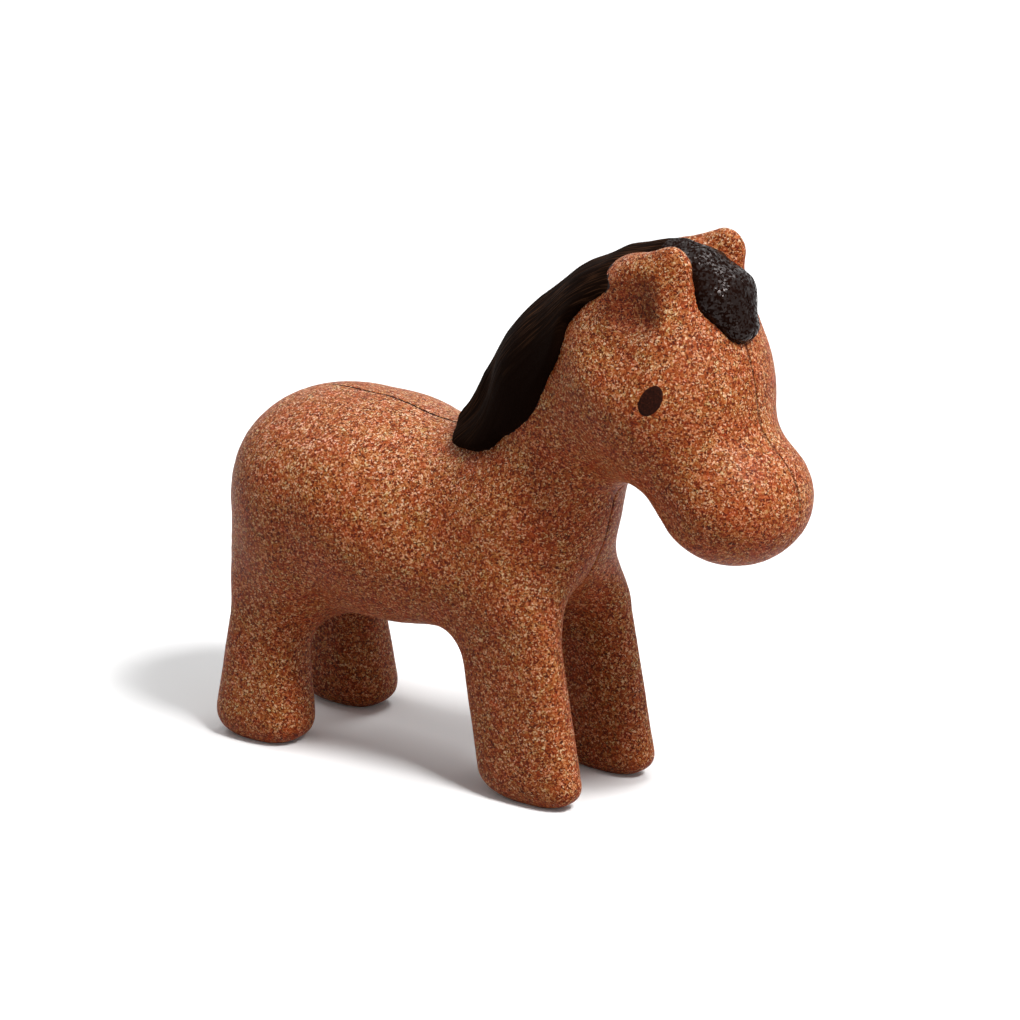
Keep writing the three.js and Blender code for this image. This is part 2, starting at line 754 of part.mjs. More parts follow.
// The origin lies on the ground under the middle of the horse's length
const size = new THREE.Box3().setFromObject(horse);
horse.position.x = -(size.min.x + size.max.x) / 2;
horse.updateMatrixWorld(true);

export default horse;
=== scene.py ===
import math

import bpy
import numpy as np
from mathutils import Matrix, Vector


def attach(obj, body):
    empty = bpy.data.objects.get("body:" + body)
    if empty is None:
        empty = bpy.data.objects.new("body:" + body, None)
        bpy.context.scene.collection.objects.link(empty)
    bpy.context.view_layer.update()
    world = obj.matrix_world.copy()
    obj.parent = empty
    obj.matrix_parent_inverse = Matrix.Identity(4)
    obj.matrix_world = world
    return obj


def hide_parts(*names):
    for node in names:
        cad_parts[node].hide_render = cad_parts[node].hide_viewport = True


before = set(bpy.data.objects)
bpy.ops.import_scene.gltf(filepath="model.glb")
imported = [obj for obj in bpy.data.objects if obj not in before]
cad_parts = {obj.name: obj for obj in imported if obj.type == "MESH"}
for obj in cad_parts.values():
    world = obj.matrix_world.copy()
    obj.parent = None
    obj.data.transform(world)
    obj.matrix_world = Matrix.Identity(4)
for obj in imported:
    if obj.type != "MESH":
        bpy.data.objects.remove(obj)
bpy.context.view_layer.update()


# The camera stands a little in front of the horse's right side and above its back, about 0.9 m
# away, and looks at the middle of its height through a long lens, as for a catalogue picture.
AZIMUTH, ELEVATION = math.radians(37.07), math.radians(17.5)
CAMERA_DISTANCE = 0.893
SENSOR_WIDTH = 36.0
FOCAL_PIXELS, PICTURE_PIXELS = 5715, 1020
look_at = Vector((-0.00097, 0.0, 0.043))
towards_camera = Vector((
    math.sin(AZIMUTH) * math.cos(ELEVATION),
    -math.cos(AZIMUTH) * math.cos(ELEVATION),
    math.sin(ELEVATION),
))
camera = bpy.data.objects.new("camera", bpy.data.cameras.new("camera"))
camera.data.sensor_width = SENSOR_WIDTH
camera.data.lens = SENSOR_WIDTH * FOCAL_PIXELS / PICTURE_PIXELS
camera.data.clip_start, camera.data.clip_end = 0.05, 20.0
camera.location = look_at + towards_camera * CAMERA_DISTANCE
camera.rotation_mode = "QUATERNION"
camera.rotation_quaternion = (-towards_camera).to_track_quat("-Z", "Y")
bpy.context.scene.collection.objects.link(camera)
bpy.context.scene.camera = camera


# The two body halves: wood chips and fibre with resin, coloured through and pressed hot in a
# mould, each half with its side of the trunk, neck, head, an ear and two legs. They are glued
# along the middle, where their slightly rounded rims leave a thin dark line.
MM = 0.001
REAR_FEET_X = -42.105

# Places are in mm: forward from the rear feet, out from the middle and up from the floor. Each
# swelling of the body is a ball with a centre and a radius, and WIDE is its width over its height.
RUMP, RUMP_RADIUS = (8.2, 0, 39.2), 17.9
LOIN, LOIN_RADIUS = (21.6, 0, 39.0), 15.8
CHEST, CHEST_RADIUS = (42.1, 0, 40.6), 12.5
CROUP, CROUP_RADIUS = (2.9, 0, 45.8), 7.0
BACK, BACK_RADIUS = (15.1, 0, 45.2), 9.8
RUMP_WIDE, CHEST_WIDE, BACK_WIDE, NECK_WIDE = 1.05, 1.06, 1.67, 0.86
NECK, NECK_RADIUS = (49.1, 0, 49.3), 11.1
THROAT, THROAT_RADIUS = (54.8, 0, 63.8), 11.8
NAPE, NAPE_RADIUS = (66.6, 0, 74.6), 12.4
ARCH, ARCH_RADIUS = (55.0, 0, 70.3), 6.1
POLL, POLL_RADIUS = (69.4, 0, 82.3), 5.8
SKULL, SKULL_RADII = (72.0, 0, 70.2), (15.0, 16.0, 15.0)
CHEEK, CHEEK_RADII = (75.3, 0, 63.2), (11.2, 11.9, 11.2)
MUZZLE, MUZZLE_RADII = (83.9, 0, 53.5), (11.9, 11.9, 10.6)
TEMPLE, TEMPLE_RADII = (72.0, 20.8, 78.2), (5.6, 5.6, 4.2)
FRONT_LEG_TOP, FRONT_FOOT = (46.8, 9.4, 33.8), (53.0, 9.7)
FRONT_LEG_HALF, FRONT_FOOT_HALF, FRONT_SOLE_ROUND = (9.1, 3.6), (9.3, 3.8), 4.8
REAR_LEG_TOP, REAR_FOOT = (0.0, 9.0, 29.6), (0.0, 11.0)
REAR_LEG_HALF, REAR_FOOT_HALF, REAR_SOLE_ROUND = (5.1, 4.0), (9.0, 5.8), 5.6
LEG_SQUARENESS, LEG_TOP_ROUND, SOLE_DEPTH = 2.7, 6.0, 0.5
EAR_LOBE, EAR_LOBE_RADIUS = (72.4, 6.7, 83.5), 7.0
EAR_TIP, EAR_TIP_RADIUS, EAR_WIDE = (76.8, 7.0, 89.3), 3.4, 0.54
EAR_CUP, EAR_CUP_RADII, EAR_CUP_ROUND = (73.0, 16.0, 84.8), (5.2, 6.6, 6.6), 2.0
CUP_FOOT, CUP_FOOT_RADII, CUP_FOOT_ROUND = (73.2, 14.8, 82.0), (4.8, 4.8, 2.6), 1.5
# How far the fillet reaches where each form runs into the ones before it.
TRUNK_FILLET, NAPE_FILLET, ARCH_FILLET, WITHERS_FILLET = 6.0, 4.0, 6.0, 12.0
CHEEK_FILLET, MUZZLE_FILLET, HEAD_FILLET, TEMPLE_ROUND = 6.0, 5.0, 8.0, 8.0
LEG_FILLET, EAR_FILLET = 9.0, 4.0


def blend(a, b, reach):
    """Joins two forms with a fillet. A form is negative inside the body and 0 on its skin."""
    h = np.maximum(reach - np.abs(a - b), 0) / reach
    return np.minimum(a, b) - h * h * reach / 4


def cut(a, b, reach):
    """Keeps what lies in both forms, with its edge rounded."""
    return -blend(-a, -b, reach)


def limb(p, a, b, ra, rb, wide):
    """The hull of two balls, made wider or narrower across the horse."""
    stretch = np.array([1, 1 / wide, 1])
    a, b = np.asarray(a, float) * stretch, np.asarray(b, float) * stretch
    ab, fall = b - a, ra - rb
    length2 = ab @ ab
    from_a = p * stretch - a
    along = from_a @ ab
    across2 = np.maximum((from_a * from_a).sum(-1) * length2 - along * along, 0) * length2
    slope2 = length2 - fall * fall
    beyond = along - length2
    skin = (np.sqrt(across2 * slope2 / length2) + along * fall) / length2 - ra
    side = np.sign(fall) * fall * fall * across2
    near_a = np.sign(along) * slope2 * along * along * length2 < side
    near_b = np.sign(beyond) * slope2 * beyond * beyond * length2 > side
    skin = np.where(near_a, np.sqrt(across2 + along * along * length2) / length2 - ra, skin)
    skin = np.where(near_b, np.sqrt(across2 + beyond * beyond * length2) / length2 - rb, skin)
    return skin * min(1, wide)


def ball(p, centre, radii):
    """A ball stretched along the three axes."""
    q = (p - np.asarray(centre, float)) / radii
    size = np.linalg.norm(q, axis=-1)
    return size * (size - 1) / (np.linalg.norm(q / radii, axis=-1) + 1e-9)


def leg(p, top, foot, top_half, foot_half, sole_round):
    """A squarish leg column that flares to a rounded foot on the ground."""
    t = np.clip(p[..., 2] / top[2], 0, 1)[..., None]
    half = np.asarray(foot_half) + (np.asarray(top_half) - foot_half) * t
    centre = np.asarray(foot) + (np.asarray(top[:2]) - foot) * t
    ring = (np.abs((p[..., :2] - centre) / half) ** LEG_SQUARENESS).sum(-1) ** (1 / LEG_SQUARENESS)
    wall = (ring - 1) * half.min(-1)
    sole = cut(wall, -p[..., 2] - SOLE_DEPTH, sole_round)
    return np.maximum(cut(sole, p[..., 2] - top[2], LEG_TOP_ROUND), -p[..., 2])


def torso(p):
    """Trunk, neck and head, with a soft hollow in each temple under the ear."""
    trunk = limb(p, RUMP, LOIN, RUMP_RADIUS, LOIN_RADIUS, RUMP_WIDE)
    barrel = limb(p, LOIN, CHEST, LOIN_RADIUS, CHEST_RADIUS, CHEST_WIDE)
    trunk = blend(trunk, barrel, TRUNK_FILLET)
    trunk = blend(trunk, limb(p, CROUP, BACK, CROUP_RADIUS, BACK_RADIUS, BACK_WIDE), TRUNK_FILLET)
    neck = limb(p, NECK, THROAT, NECK_RADIUS, THROAT_RADIUS, NECK_WIDE)
    neck = blend(neck, limb(p, THROAT, NAPE, THROAT_RADIUS, NAPE_RADIUS, NECK_WIDE), NAPE_FILLET)
    neck = blend(neck, limb(p, ARCH, POLL, ARCH_RADIUS, POLL_RADIUS, NECK_WIDE), ARCH_FILLET)
    head = ball(p, SKULL, SKULL_RADII)
    head = blend(head, ball(p, CHEEK, CHEEK_RADII), CHEEK_FILLET)
    head = blend(head, ball(p, MUZZLE, MUZZLE_RADII), MUZZLE_FILLET)
    form = blend(blend(trunk, neck, WITHERS_FILLET), head, HEAD_FILLET)
    return cut(form, -ball(p, TEMPLE, TEMPLE_RADII), TEMPLE_ROUND)


def on_left(p):
    """The same points on the left side, because the horse is alike on both."""
    return np.stack([p[..., 0], np.abs(p[..., 1]), p[..., 2]], -1)


def body(p):
    """The whole bare horse, both halves, with a shallow cup in the outside of each ear."""
    p = on_left(p)
    front = leg(
        p, FRONT_LEG_TOP, FRONT_FOOT, FRONT_LEG_HALF, FRONT_FOOT_HALF, FRONT_SOLE_ROUND)
    rear = leg(p, REAR_LEG_TOP, REAR_FOOT, REAR_LEG_HALF, REAR_FOOT_HALF, REAR_SOLE_ROUND)
    ear = limb(p, EAR_LOBE, EAR_TIP, EAR_LOBE_RADIUS, EAR_TIP_RADIUS, EAR_WIDE)
    form = blend(blend(torso(p), front, LEG_FILLET), rear, LEG_FILLET)
    form = blend(form, ear, EAR_FILLET)
    form = cut(form, -ball(p, EAR_CUP, EAR_CUP_RADII), EAR_CUP_ROUND)
    return cut(form, -ball(p, CUP_FOOT, CUP_FOOT_RADII), CUP_FOOT_ROUND)


# The mane's crest is a curve with seven points from the withers to the poll. The mane's leaf lies
# along it, and reaches furthest down the neck a third of the way up.
CREST_POINTS = 7
crest_ends = np.array([[36.6, 56.9], [41.0, 70.9], [56.2, 84.8], [73.7, 89.9]])
t = np.linspace(0, 1, CREST_POINTS)[:, None]
crest = (
    (1 - t) ** 3 * crest_ends[0] + 3 * (1 - t) ** 2 * t * crest_ends[1]
    + 3 * (1 - t) * t * t * crest_ends[2] + t ** 3 * crest_ends[3]
)
WITHERS_CREST_RADIUS, POLL_CREST_RADIUS, CREST_FILLET = 3.2, 1.8, 3.0
crest_radius = np.linspace(WITHERS_CREST_RADIUS, POLL_CREST_RADIUS, CREST_POINTS)
MANE_WIDTH, MANE_RELIEF, MANE_EDGE_ROUND = 11.0, 1.4, 2.0
flank_shares = np.array([0.2, 0.84, 1.04, 0.86, 0.34, 0.22, 0.2])
flank = MANE_WIDTH * flank_shares
LOCK_ROOT, LOCK_ROOT_RADIUS = (77.6, 0, 87.6), 3.5
LOCK_MIDDLE, LOCK_MIDDLE_RADIUS = (81.3, 0, 84.5), 3.8
LOCK_TIP, LOCK_TIP_RADIUS = (84.6, 0, 80.0), 2.4
LOCK_WIDE, LOCK_BEND, LOCK_FILLET = 1.44, 2.0, 2.5


def outline(u, v, places, radii, reach):
    """A flat outline: a row of discs with straight sides between them."""
    form = None
    for a, b, ra, rb in zip(places[:-1], places[1:], radii[:-1], radii[1:]):
        ab = b - a
        s = np.clip(((u - a[0]) * ab[0] + (v - a[1]) * ab[1]) / (ab @ ab), 0, 1)
        link = np.hypot(u - a[0] - ab[0] * s, v - a[1] - ab[1] * s) - ra - (rb - ra) * s
        form = link if form is None else blend(form, link, reach)
    return form


def mane(p):
    """Mane, crest and forelock."""
    p = on_left(p)
    ridge = None
    for a, b, ra, rb in zip(crest[:-1], crest[1:], crest_radius[:-1], crest_radius[1:]):
        link = limb(p, (a[0], 0, a[1]), (b[0], 0, b[1]), ra, rb, 1.0)
        ridge = link if ridge is None else np.minimum(ridge, link)
    leaf = outline(p[..., 0], p[..., 2], crest, flank, MANE_EDGE_ROUND)
    form = cut(torso(p) - MANE_RELIEF, leaf, MANE_EDGE_ROUND)
    form = blend(form, ridge, CREST_FILLET)
    lock = limb(p, LOCK_ROOT, LOCK_MIDDLE, LOCK_ROOT_RADIUS, LOCK_MIDDLE_RADIUS, LOCK_WIDE)
    end = limb(p, LOCK_MIDDLE, LOCK_TIP, LOCK_MIDDLE_RADIUS, LOCK_TIP_RADIUS, LOCK_WIDE)
    return blend(form, blend(lock, end, LOCK_BEND), LOCK_FILLET)


def unevenness(p, size, seed):
    """Smooth random heights from -1 to 1, with lumps of the given size in mm."""
    table = np.random.default_rng(seed).uniform(-1, 1, 4096)
    cell = np.floor(p / size).astype(np.int64)
    f = p / size - cell
    f = f * f * (3 - 2 * f)
    total = 0
    for corner in np.ndindex(2, 2, 2):
        weight = np.prod(np.where(corner, f, 1 - f), -1)
        i, j, k = np.moveaxis(cell + corner, -1, 0)
        total = total + weight * table[(i * 73856093 ^ j * 19349663 ^ k * 83492791) & 4095]
    return total


def skin_of(form, xs, ys, zs):
    """The skin of a form as points and quads, with one point in each grid cell it crosses."""
    lines = [np.asarray(axis, float) for axis in (xs, ys, zs)]
    value = form(np.stack(np.meshgrid(*lines, indexing="ij"), -1))
    inside = value < 0
    nx, ny, nz = value.shape
    corners = [
        inside[i:nx - 1 + i, j:ny - 1 + j, k:nz - 1 + k].astype(np.int8)
        for i, j, k in np.ndindex(2, 2, 2)
    ]
    count = sum(corners)
    cells = np.argwhere((count > 0) & (count < 8))
    number = np.full(count.shape, -1)
    number[tuple(cells.T)] = np.arange(len(cells))
    total, hits = np.zeros((len(cells), 3)), np.zeros(len(cells))

    def place(index):
        return np.stack([line[n] for line, n in zip(lines, index.T)], -1)

    for axis in range(3):
        step = np.eye(3, dtype=int)[axis]
        for corner in np.ndindex(2, 2, 2):
            if corner[axis]:
                continue
            start = cells + corner
            a, b = value[tuple(start.T)], value[tuple((start + step).T)]
            crosses = (a < 0) != (b < 0)
            share = np.where(crosses, a / np.where(crosses, a - b, 1), 0)[:, None]
            point = place(start) * (1 - share) + place(start + step) * share
            total += crosses[:, None] * point
            hits += crosses
    points = total / hits[:, None]
    low, high = place(cells), place(cells + 1)
    probe = 0.02
    for _ in range(3):
        slope = np.stack([form(points + d) - form(points - d) for d in np.eye(3) * probe], -1)
        slope = slope / (2 * probe)
        steep = np.maximum((slope * slope).sum(-1), 0.05)
        points = np.clip(points - slope * (form(points) / steep)[:, None], low, high)
    quads = []
    rounds = {
        0: ((0, -1, -1), (0, 0, -1), (0, 0, 0), (0, -1, 0)),
        1: ((-1, 0, -1), (-1, 0, 0), (0, 0, 0), (0, 0, -1)),
        2: ((-1, -1, 0), (0, -1, 0), (0, 0, 0), (-1, 0, 0)),
    }
    for axis, ring in rounds.items():
        step = np.eye(3, dtype=int)[axis]
        inner = [slice(0, -1) if n == axis else slice(1, -1) for n in range(3)]
        outer = [slice(1, None) if n == axis else slice(1, -1) for n in range(3)]
        edges = np.argwhere(inside[tuple(inner)] != inside[tuple(outer)]) + (1 - step)
        quad = np.stack([number[tuple((edges + np.array(way)).T)] for way in ring], -1)
        out = ~inside[tuple(edges.T)]
        quad[out] = quad[out][:, ::-1]
        quads.append(quad)
    return points, np.concatenate(quads)


def normals_of(points, quads):
    """The direction away from the skin at each of its points."""
    a, b, c, d = (points[quads[:, n]] for n in range(4))
    face = np.cross(c - a, d - b)
    normal = np.zeros_like(points)
    for n in range(4):
        np.add.at(normal, quads[:, n], face)
    return normal / np.maximum(np.linalg.norm(normal, axis=1), 1e-12)[:, None]


def piece(name, points, faces, left, node, material):
    """A Blender object of one piece, in metres, which stands for its CAD node."""
    place = (points + (REAR_FEET_X, 0, 0)) * MM
    if not left:
        place, faces = place * (1, -1, 1), [face[::-1] for face in faces]
    mesh = bpy.data.meshes.new(name)
    mesh.from_pydata(place.tolist(), [], faces)
    mesh.polygons.foreach_set("use_smooth", np.ones(len(faces), bool))
    mesh.materials.append(material)
    made = bpy.data.objects.new(name, mesh)
    bpy.context.scene.collection.objects.link(made)
    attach(made, "root")
    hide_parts(node)
    return made


def note(made, name, values):
    """Stores a number or a vector for each point of a piece, which its material reads."""
    values = np.asarray(values, np.float32)
    kind, key = ("FLOAT", "value") if values.ndim == 1 else ("FLOAT_VECTOR", "vector")
    made.data.attributes.new(name, kind, "POINT").data.foreach_set(key, values.ravel())


def linear(code):
    """An sRGB hex colour as the linear one that Blender works in."""
    parts = [int(code[n:n + 2], 16) / 255 for n in (1, 3, 5)]
    return (*[c / 12.92 if c <= 0.04045 else ((c + 0.055) / 1.055) ** 2.4 for c in parts], 1.0)


def start_material(name):
    """A material with no nodes yet."""
    made = bpy.data.materials.new(name)
    made.use_nodes = True
    made.node_tree.nodes.clear()
    return made


def add(material, kind, inputs=(), **settings):
    """Adds a node with its settings, and its inputs as values or as links."""
    node = material.node_tree.nodes.new(kind)
    for key, setting in settings.items():
        setattr(node, key, setting)
    for key, value in dict(inputs).items():
        if isinstance(value, bpy.types.NodeSocket):
            material.node_tree.links.new(value, node.inputs[key])
        else:
            node.inputs[key].default_value = value
    return node


def ramp(node, stops):
    """Sets a colour ramp's stops from places and hex colours."""
    elements = node.color_ramp.elements
    while len(elements) < len(stops):
        elements.new(0.5)
    for element, (place, code) in zip(elements, stops):
        element.position, element.color = place, linear(code)
    return node


# Wood and resin composite, pressed hot and coloured through with a red-brown pigment: a matt skin
# of crumbs a quarter of a millimetre wide, from dark brown over brick to straw, each a little
# higher or lower than the next, so that lamps above draw a grainy sheen on it.
CRUMB, CRUMB_HEIGHT, SWIRL, BEND = 0.23 * MM, 0.05 * MM, 0.35 * MM, 0.7 * MM
CHIP, CHIP_SHARE, CLOUD = 0.6 * MM, 0.32, 4 * MM
composite = start_material("pressed_wood_composite")
where = add(composite, "ShaderNodeTexCoord").outputs["Object"]
# The crumbs are torn fibre, so a fine swirl bends them out of round.
swirl = add(composite, "ShaderNodeTexNoise", {
    "Vector": where, "Scale": 1 / SWIRL, "Detail": 1.0})
bent = add(composite, "ShaderNodeVectorMath", {
    0: swirl.outputs["Color"], 1: (BEND, BEND, BEND), 2: where,
}, operation="MULTIPLY_ADD").outputs[0]
crumb = add(composite, "ShaderNodeTexVoronoi", {"Vector": bent, "Scale": 1 / CRUMB}, feature="F1")
hue = add(composite, "ShaderNodeSeparateColor", {0: crumb.outputs["Color"]})
crumb_colour = ramp(add(composite, "ShaderNodeValToRGB", {0: hue.outputs[0]}), [
    (0.0, "#421806"), (0.2, "#702e10"), (0.42, "#9a4e24"), (0.62, "#b26a3a"), (0.78, "#c88e62"),
    (0.9, "#dcb898"), (1.0, "#f4e4d4"),
]).outputs[0]
# A coarser chip here and there among the crumbs took more pigment, or is bark and looks olive.
chip = add(composite, "ShaderNodeTexVoronoi", {"Vector": where, "Scale": 1 / CHIP}, feature="F1")
chip_hue = add(composite, "ShaderNodeSeparateColor", {0: chip.outputs["Color"]})
chipped = add(composite, "ShaderNodeMix", {
    0: CHIP_SHARE, 6: crumb_colour,
    7: ramp(add(composite, "ShaderNodeValToRGB", {0: chip_hue.outputs[0]}), [
        (0.0, "#ff8c80"), (0.25, "#ffd4c8"), (0.5, "#fff4ec"), (0.8, "#f4ffec"), (1.0, "#c0e078"),
    ]).outputs[0],
}, data_type="RGBA", blend_type="MULTIPLY").outputs[2]
# The pigment lies in soft clouds, redder in one and browner in the next.
cloud = add(composite, "ShaderNodeTexNoise", {
    "Vector": where, "Scale": 1 / CLOUD, "Detail": 4.0})
clouded = add(composite, "ShaderNodeMix", {
    0: 1.0, 6: chipped,
    7: ramp(add(composite, "ShaderNodeValToRGB", {0: cloud.outputs["Fac"]}), [
        (0.3, "#eed0c8"), (0.5, "#eadcd2"), (0.7, "#f4f4e8"),
    ]).outputs[0],
}, data_type="RGBA", blend_type="MULTIPLY").outputs[2]
# Painted shade: sides that look down are drawn a deeper, darker red than sides that look up.
upward = add(composite, "ShaderNodeSeparateXYZ", {
    0: add(composite, "ShaderNodeNewGeometry").outputs["Normal"]}).outputs[2]
painted_underside_shade = add(composite, "ShaderNodeMix", {
    0: 1.0, 6: clouded,
    7: ramp(add(composite, "ShaderNodeValToRGB", {
        0: add(composite, "ShaderNodeMapRange", {0: upward, 1: -1.0, 2: 1.0}).outputs[0],
    }), [(0.2, "#ffdcbc"), (0.6, "#fff0dc"), (1.0, "#ffffff")]).outputs[0],
}, data_type="RGBA", blend_type="MULTIPLY").outputs[2]
# Painted shade: the cup of each ear and the hollow under it are darkened with a grey-brown.
painted_cup_shade = add(composite, "ShaderNodeMix", {
    0: add(composite, "ShaderNodeAttribute", attribute_name="cup_shade_share").outputs["Fac"],
    6: painted_underside_shade, 7: linear("#a89888"),
}, data_type="RGBA", blend_type="MULTIPLY").outputs[2]
# The joint: where the rims meet, glue and dust make a dark hairline, clearest on the back, tighter
# down the face, and rubbed clean on the sides that look down.
RAGGED, JOINT_WIDTH, JOINT_LEAST = 0.8 * MM, 0.5 * MM, -0.02 * MM
JOINT_OPEN_X, JOINT_TIGHT_X = 10 * MM, 30 * MM
spot = add(composite, "ShaderNodeSeparateXYZ", {0: where})
ragged = add(composite, "ShaderNodeTexNoise", {
    "Vector": where, "Scale": 1 / RAGGED, "Detail": 3.0})
edge = add(composite, "ShaderNodeMath", {
    0: add(composite, "ShaderNodeMath", {0: spot.outputs[1]}, operation="ABSOLUTE").outputs[0],
    1: add(composite, "ShaderNodeMath", {
        0: ragged.outputs["Fac"], 1: JOINT_WIDTH, 2: JOINT_LEAST,
    }, operation="MULTIPLY_ADD").outputs[0],
}, operation="LESS_THAN").outputs[0]
open_wide = add(composite, "ShaderNodeMapRange", {
    0: spot.outputs[0], 1: JOINT_OPEN_X, 2: JOINT_TIGHT_X, 3: 0.97, 4: 0.5}).outputs[0]
dirty = add(composite, "ShaderNodeMapRange", {
    0: upward, 1: -0.35, 2: 0.05, 3: 0.0, 4: open_wide}).outputs[0]
jointed = add(composite, "ShaderNodeMix", {
    0: add(composite, "ShaderNodeMath", {0: edge, 1: dirty}, operation="MULTIPLY").outputs[0],
    6: painted_cup_shade, 7: linear("#1e0a06"),
}, data_type="RGBA").outputs[2]
# The mane's paint runs out a little past its raised edge, and stops in a ragged line. These two
# lengths are plain mm, like the distance that the halves' points carry.
PAINT_RAGGED, PAINT_START = 0.7, -0.3
paint_far = add(composite, "ShaderNodeAttribute", attribute_name="paint_distance").outputs["Fac"]
paint_edge = add(composite, "ShaderNodeMath", {
    0: add(composite, "ShaderNodeMath", {
        0: ragged.outputs["Fac"], 1: PAINT_RAGGED, 2: PAINT_START,
    }, operation="MULTIPLY_ADD").outputs[0],
    1: paint_far,
}, operation="GREATER_THAN").outputs[0]
painted = add(composite, "ShaderNodeMix", {
    0: paint_edge, 6: jointed, 7: linear("#180d0a")}, data_type="RGBA")
relief = add(composite, "ShaderNodeBump", {
    "Height": hue.outputs[1], "Strength": 0.5, "Distance": CRUMB_HEIGHT})
dull = add(composite, "ShaderNodeMath", {
    0: hue.outputs[2], 1: 0.3, 2: 0.42}, operation="MULTIPLY_ADD").outputs[0]
skin = add(composite, "ShaderNodeBsdfPrincipled", {
    "Base Color": painted.outputs[2], "Roughness": dull, "Normal": relief.outputs[0],
    "IOR": 1.5, "Specular IOR Level": 0.12,
})
add(composite, "ShaderNodeOutputMaterial", {0: skin.outputs[0]})

# The halves are drawn with a point every half millimetre, and closer together at the joint.
BODY_STEP = 0.5
near_joint = [-0.3, -0.06, 0.08, 0.22, 0.4, 0.65, 1.0]
body_xs = np.arange(-10.6, 96.4, BODY_STEP)
body_ys = np.concatenate([near_joint, np.arange(1.45, 19.6, BODY_STEP)])
body_zs = np.arange(-0.7, 93.4, BODY_STEP)
RIM_ROUND, RIM_CHIPS, RIM_CHIP_LENGTH, RIM_SEED = 0.45, 0.25, 2.2, 5
# Where the painted shade in each ear cup is darkest, and how far it reaches before it fades.
SHELTER, SHELTER_RADII, SHELTER_FADE = (71.4, 11.0, 83.6), (7.4, 6.0, 6.8), 4
SWELL_HEIGHT, SWELL, PIT_HEIGHT, PIT = 0.05, 5.0, 0.03, 1.1


def body_half(p):
    """The left half, its rim a little rounded where it meets the other, and chipped in places."""
    rounding = RIM_ROUND + RIM_CHIPS * unevenness(p, RIM_CHIP_LENGTH, RIM_SEED)
    return cut(body(p), -p[..., 1], rounding)


points, quads = skin_of(body_half, body_xs, body_ys, body_zs)
normal = normals_of(points, quads)
# How deep each point lies in the painted shade of its ear cup.
cup_shade_share = np.clip(-ball(points, SHELTER, SHELTER_RADII) / SHELTER_FADE, 0, 1)
paint_distance = mane(points)
for side, seed in (("right", 11), ("left", 12)):
    # The skin is a little uneven, but not at the joint or the soles, which stay flat.
    lift = (
        SWELL_HEIGHT * unevenness(points, SWELL, seed)
        + PIT_HEIGHT * unevenness(points, PIT, seed + 20)
    )
    lift = lift * np.clip(points[:, 1] / 0.4, 0, 1) * np.clip(points[:, 2] / 0.6, 0, 1)
    half = piece(
        "composite_half_" + side, points + normal * lift[:, None], quads.tolist(), side == "left",
        "body_half_" + side, composite,
    )
    note(half, "paint_distance", paint_distance)
    note(half, "cup_shade_share", cup_shade_share)


# The mane and forelock: the same pressing, about 1.5 mm proud of the neck and up to 5 mm or so at
# the withers and the forelock, with fine strands pressed along it and a dark brown paint brushed
# over it, thin on the strands by the crest; their paler colour there is partly a painted highlight.
def comb(p):
    """Where each point lies beside the crest: across the strands, along them, and how near."""
    best = np.full(p.shape[:-1], 1e9)
    height, along, run = np.zeros_like(best), np.zeros_like(best), 0.0
    for a, b in zip(crest[:-1], crest[1:]):
        ab = b - a
        length = np.linalg.norm(ab)
        s = np.clip(((p[..., 0] - a[0]) * ab[0] + (p[..., 2] - a[1]) * ab[1]) / (ab @ ab), 0, 1)
        gap = np.hypot(p[..., 0] - a[0] - ab[0] * s, p[..., 2] - a[1] - ab[1] * s)
        rise = ((p[..., 2] - a[1]) * ab[0] - (p[..., 0] - a[0]) * ab[1]) / length
        height = np.where(gap < best, rise, height)
        along = np.where(gap < best, run + s * length, along)
        best = np.minimum(best, gap)
        run += length
    across, near = height - 0.9 * np.abs(p[..., 1]), np.clip(1 + (height - 1) / 6, 0, 1)
    return np.stack([across, along, near], -1)


ROOT_DEPTH, ROOT_ROUND, MANE_RIM_ROUND = 0.5, 0.3, 0.2


def mane_half(p):
    """The left half of the mane, rooted a little way inside the neck."""
    form = cut(mane(p), -body(p) - ROOT_DEPTH, ROOT_ROUND)
    return cut(form, -p[..., 1], MANE_RIM_ROUND)


# Brown-black water-based paint, brushed on and dried matt, so the mane looks deep and soft. It is
# rubbed thin on the strands by the crest, which show as fine pale brown lines, and these lines are
# partly a painted highlight along the top of the crest. A strand's width and length are plain mm,
# like the places that the mane's points carry.
STRAND_WIDTH, STRAND_LENGTH, GRIT, GRIT_HEIGHT = 0.35, 7.0, 0.4 * MM, 0.1 * MM
paint = start_material("brushed_matt_paint")
strand = add(paint, "ShaderNodeAttribute", attribute_name="strand_place").outputs["Vector"]
streak = add(paint, "ShaderNodeTexNoise", {
    "Vector": add(paint, "ShaderNodeVectorMath", {
        0: strand, 1: (1 / STRAND_WIDTH, 1 / STRAND_LENGTH, 0.0)}, operation="MULTIPLY").outputs[0],
    "Scale": 1.0, "Detail": 2.0})
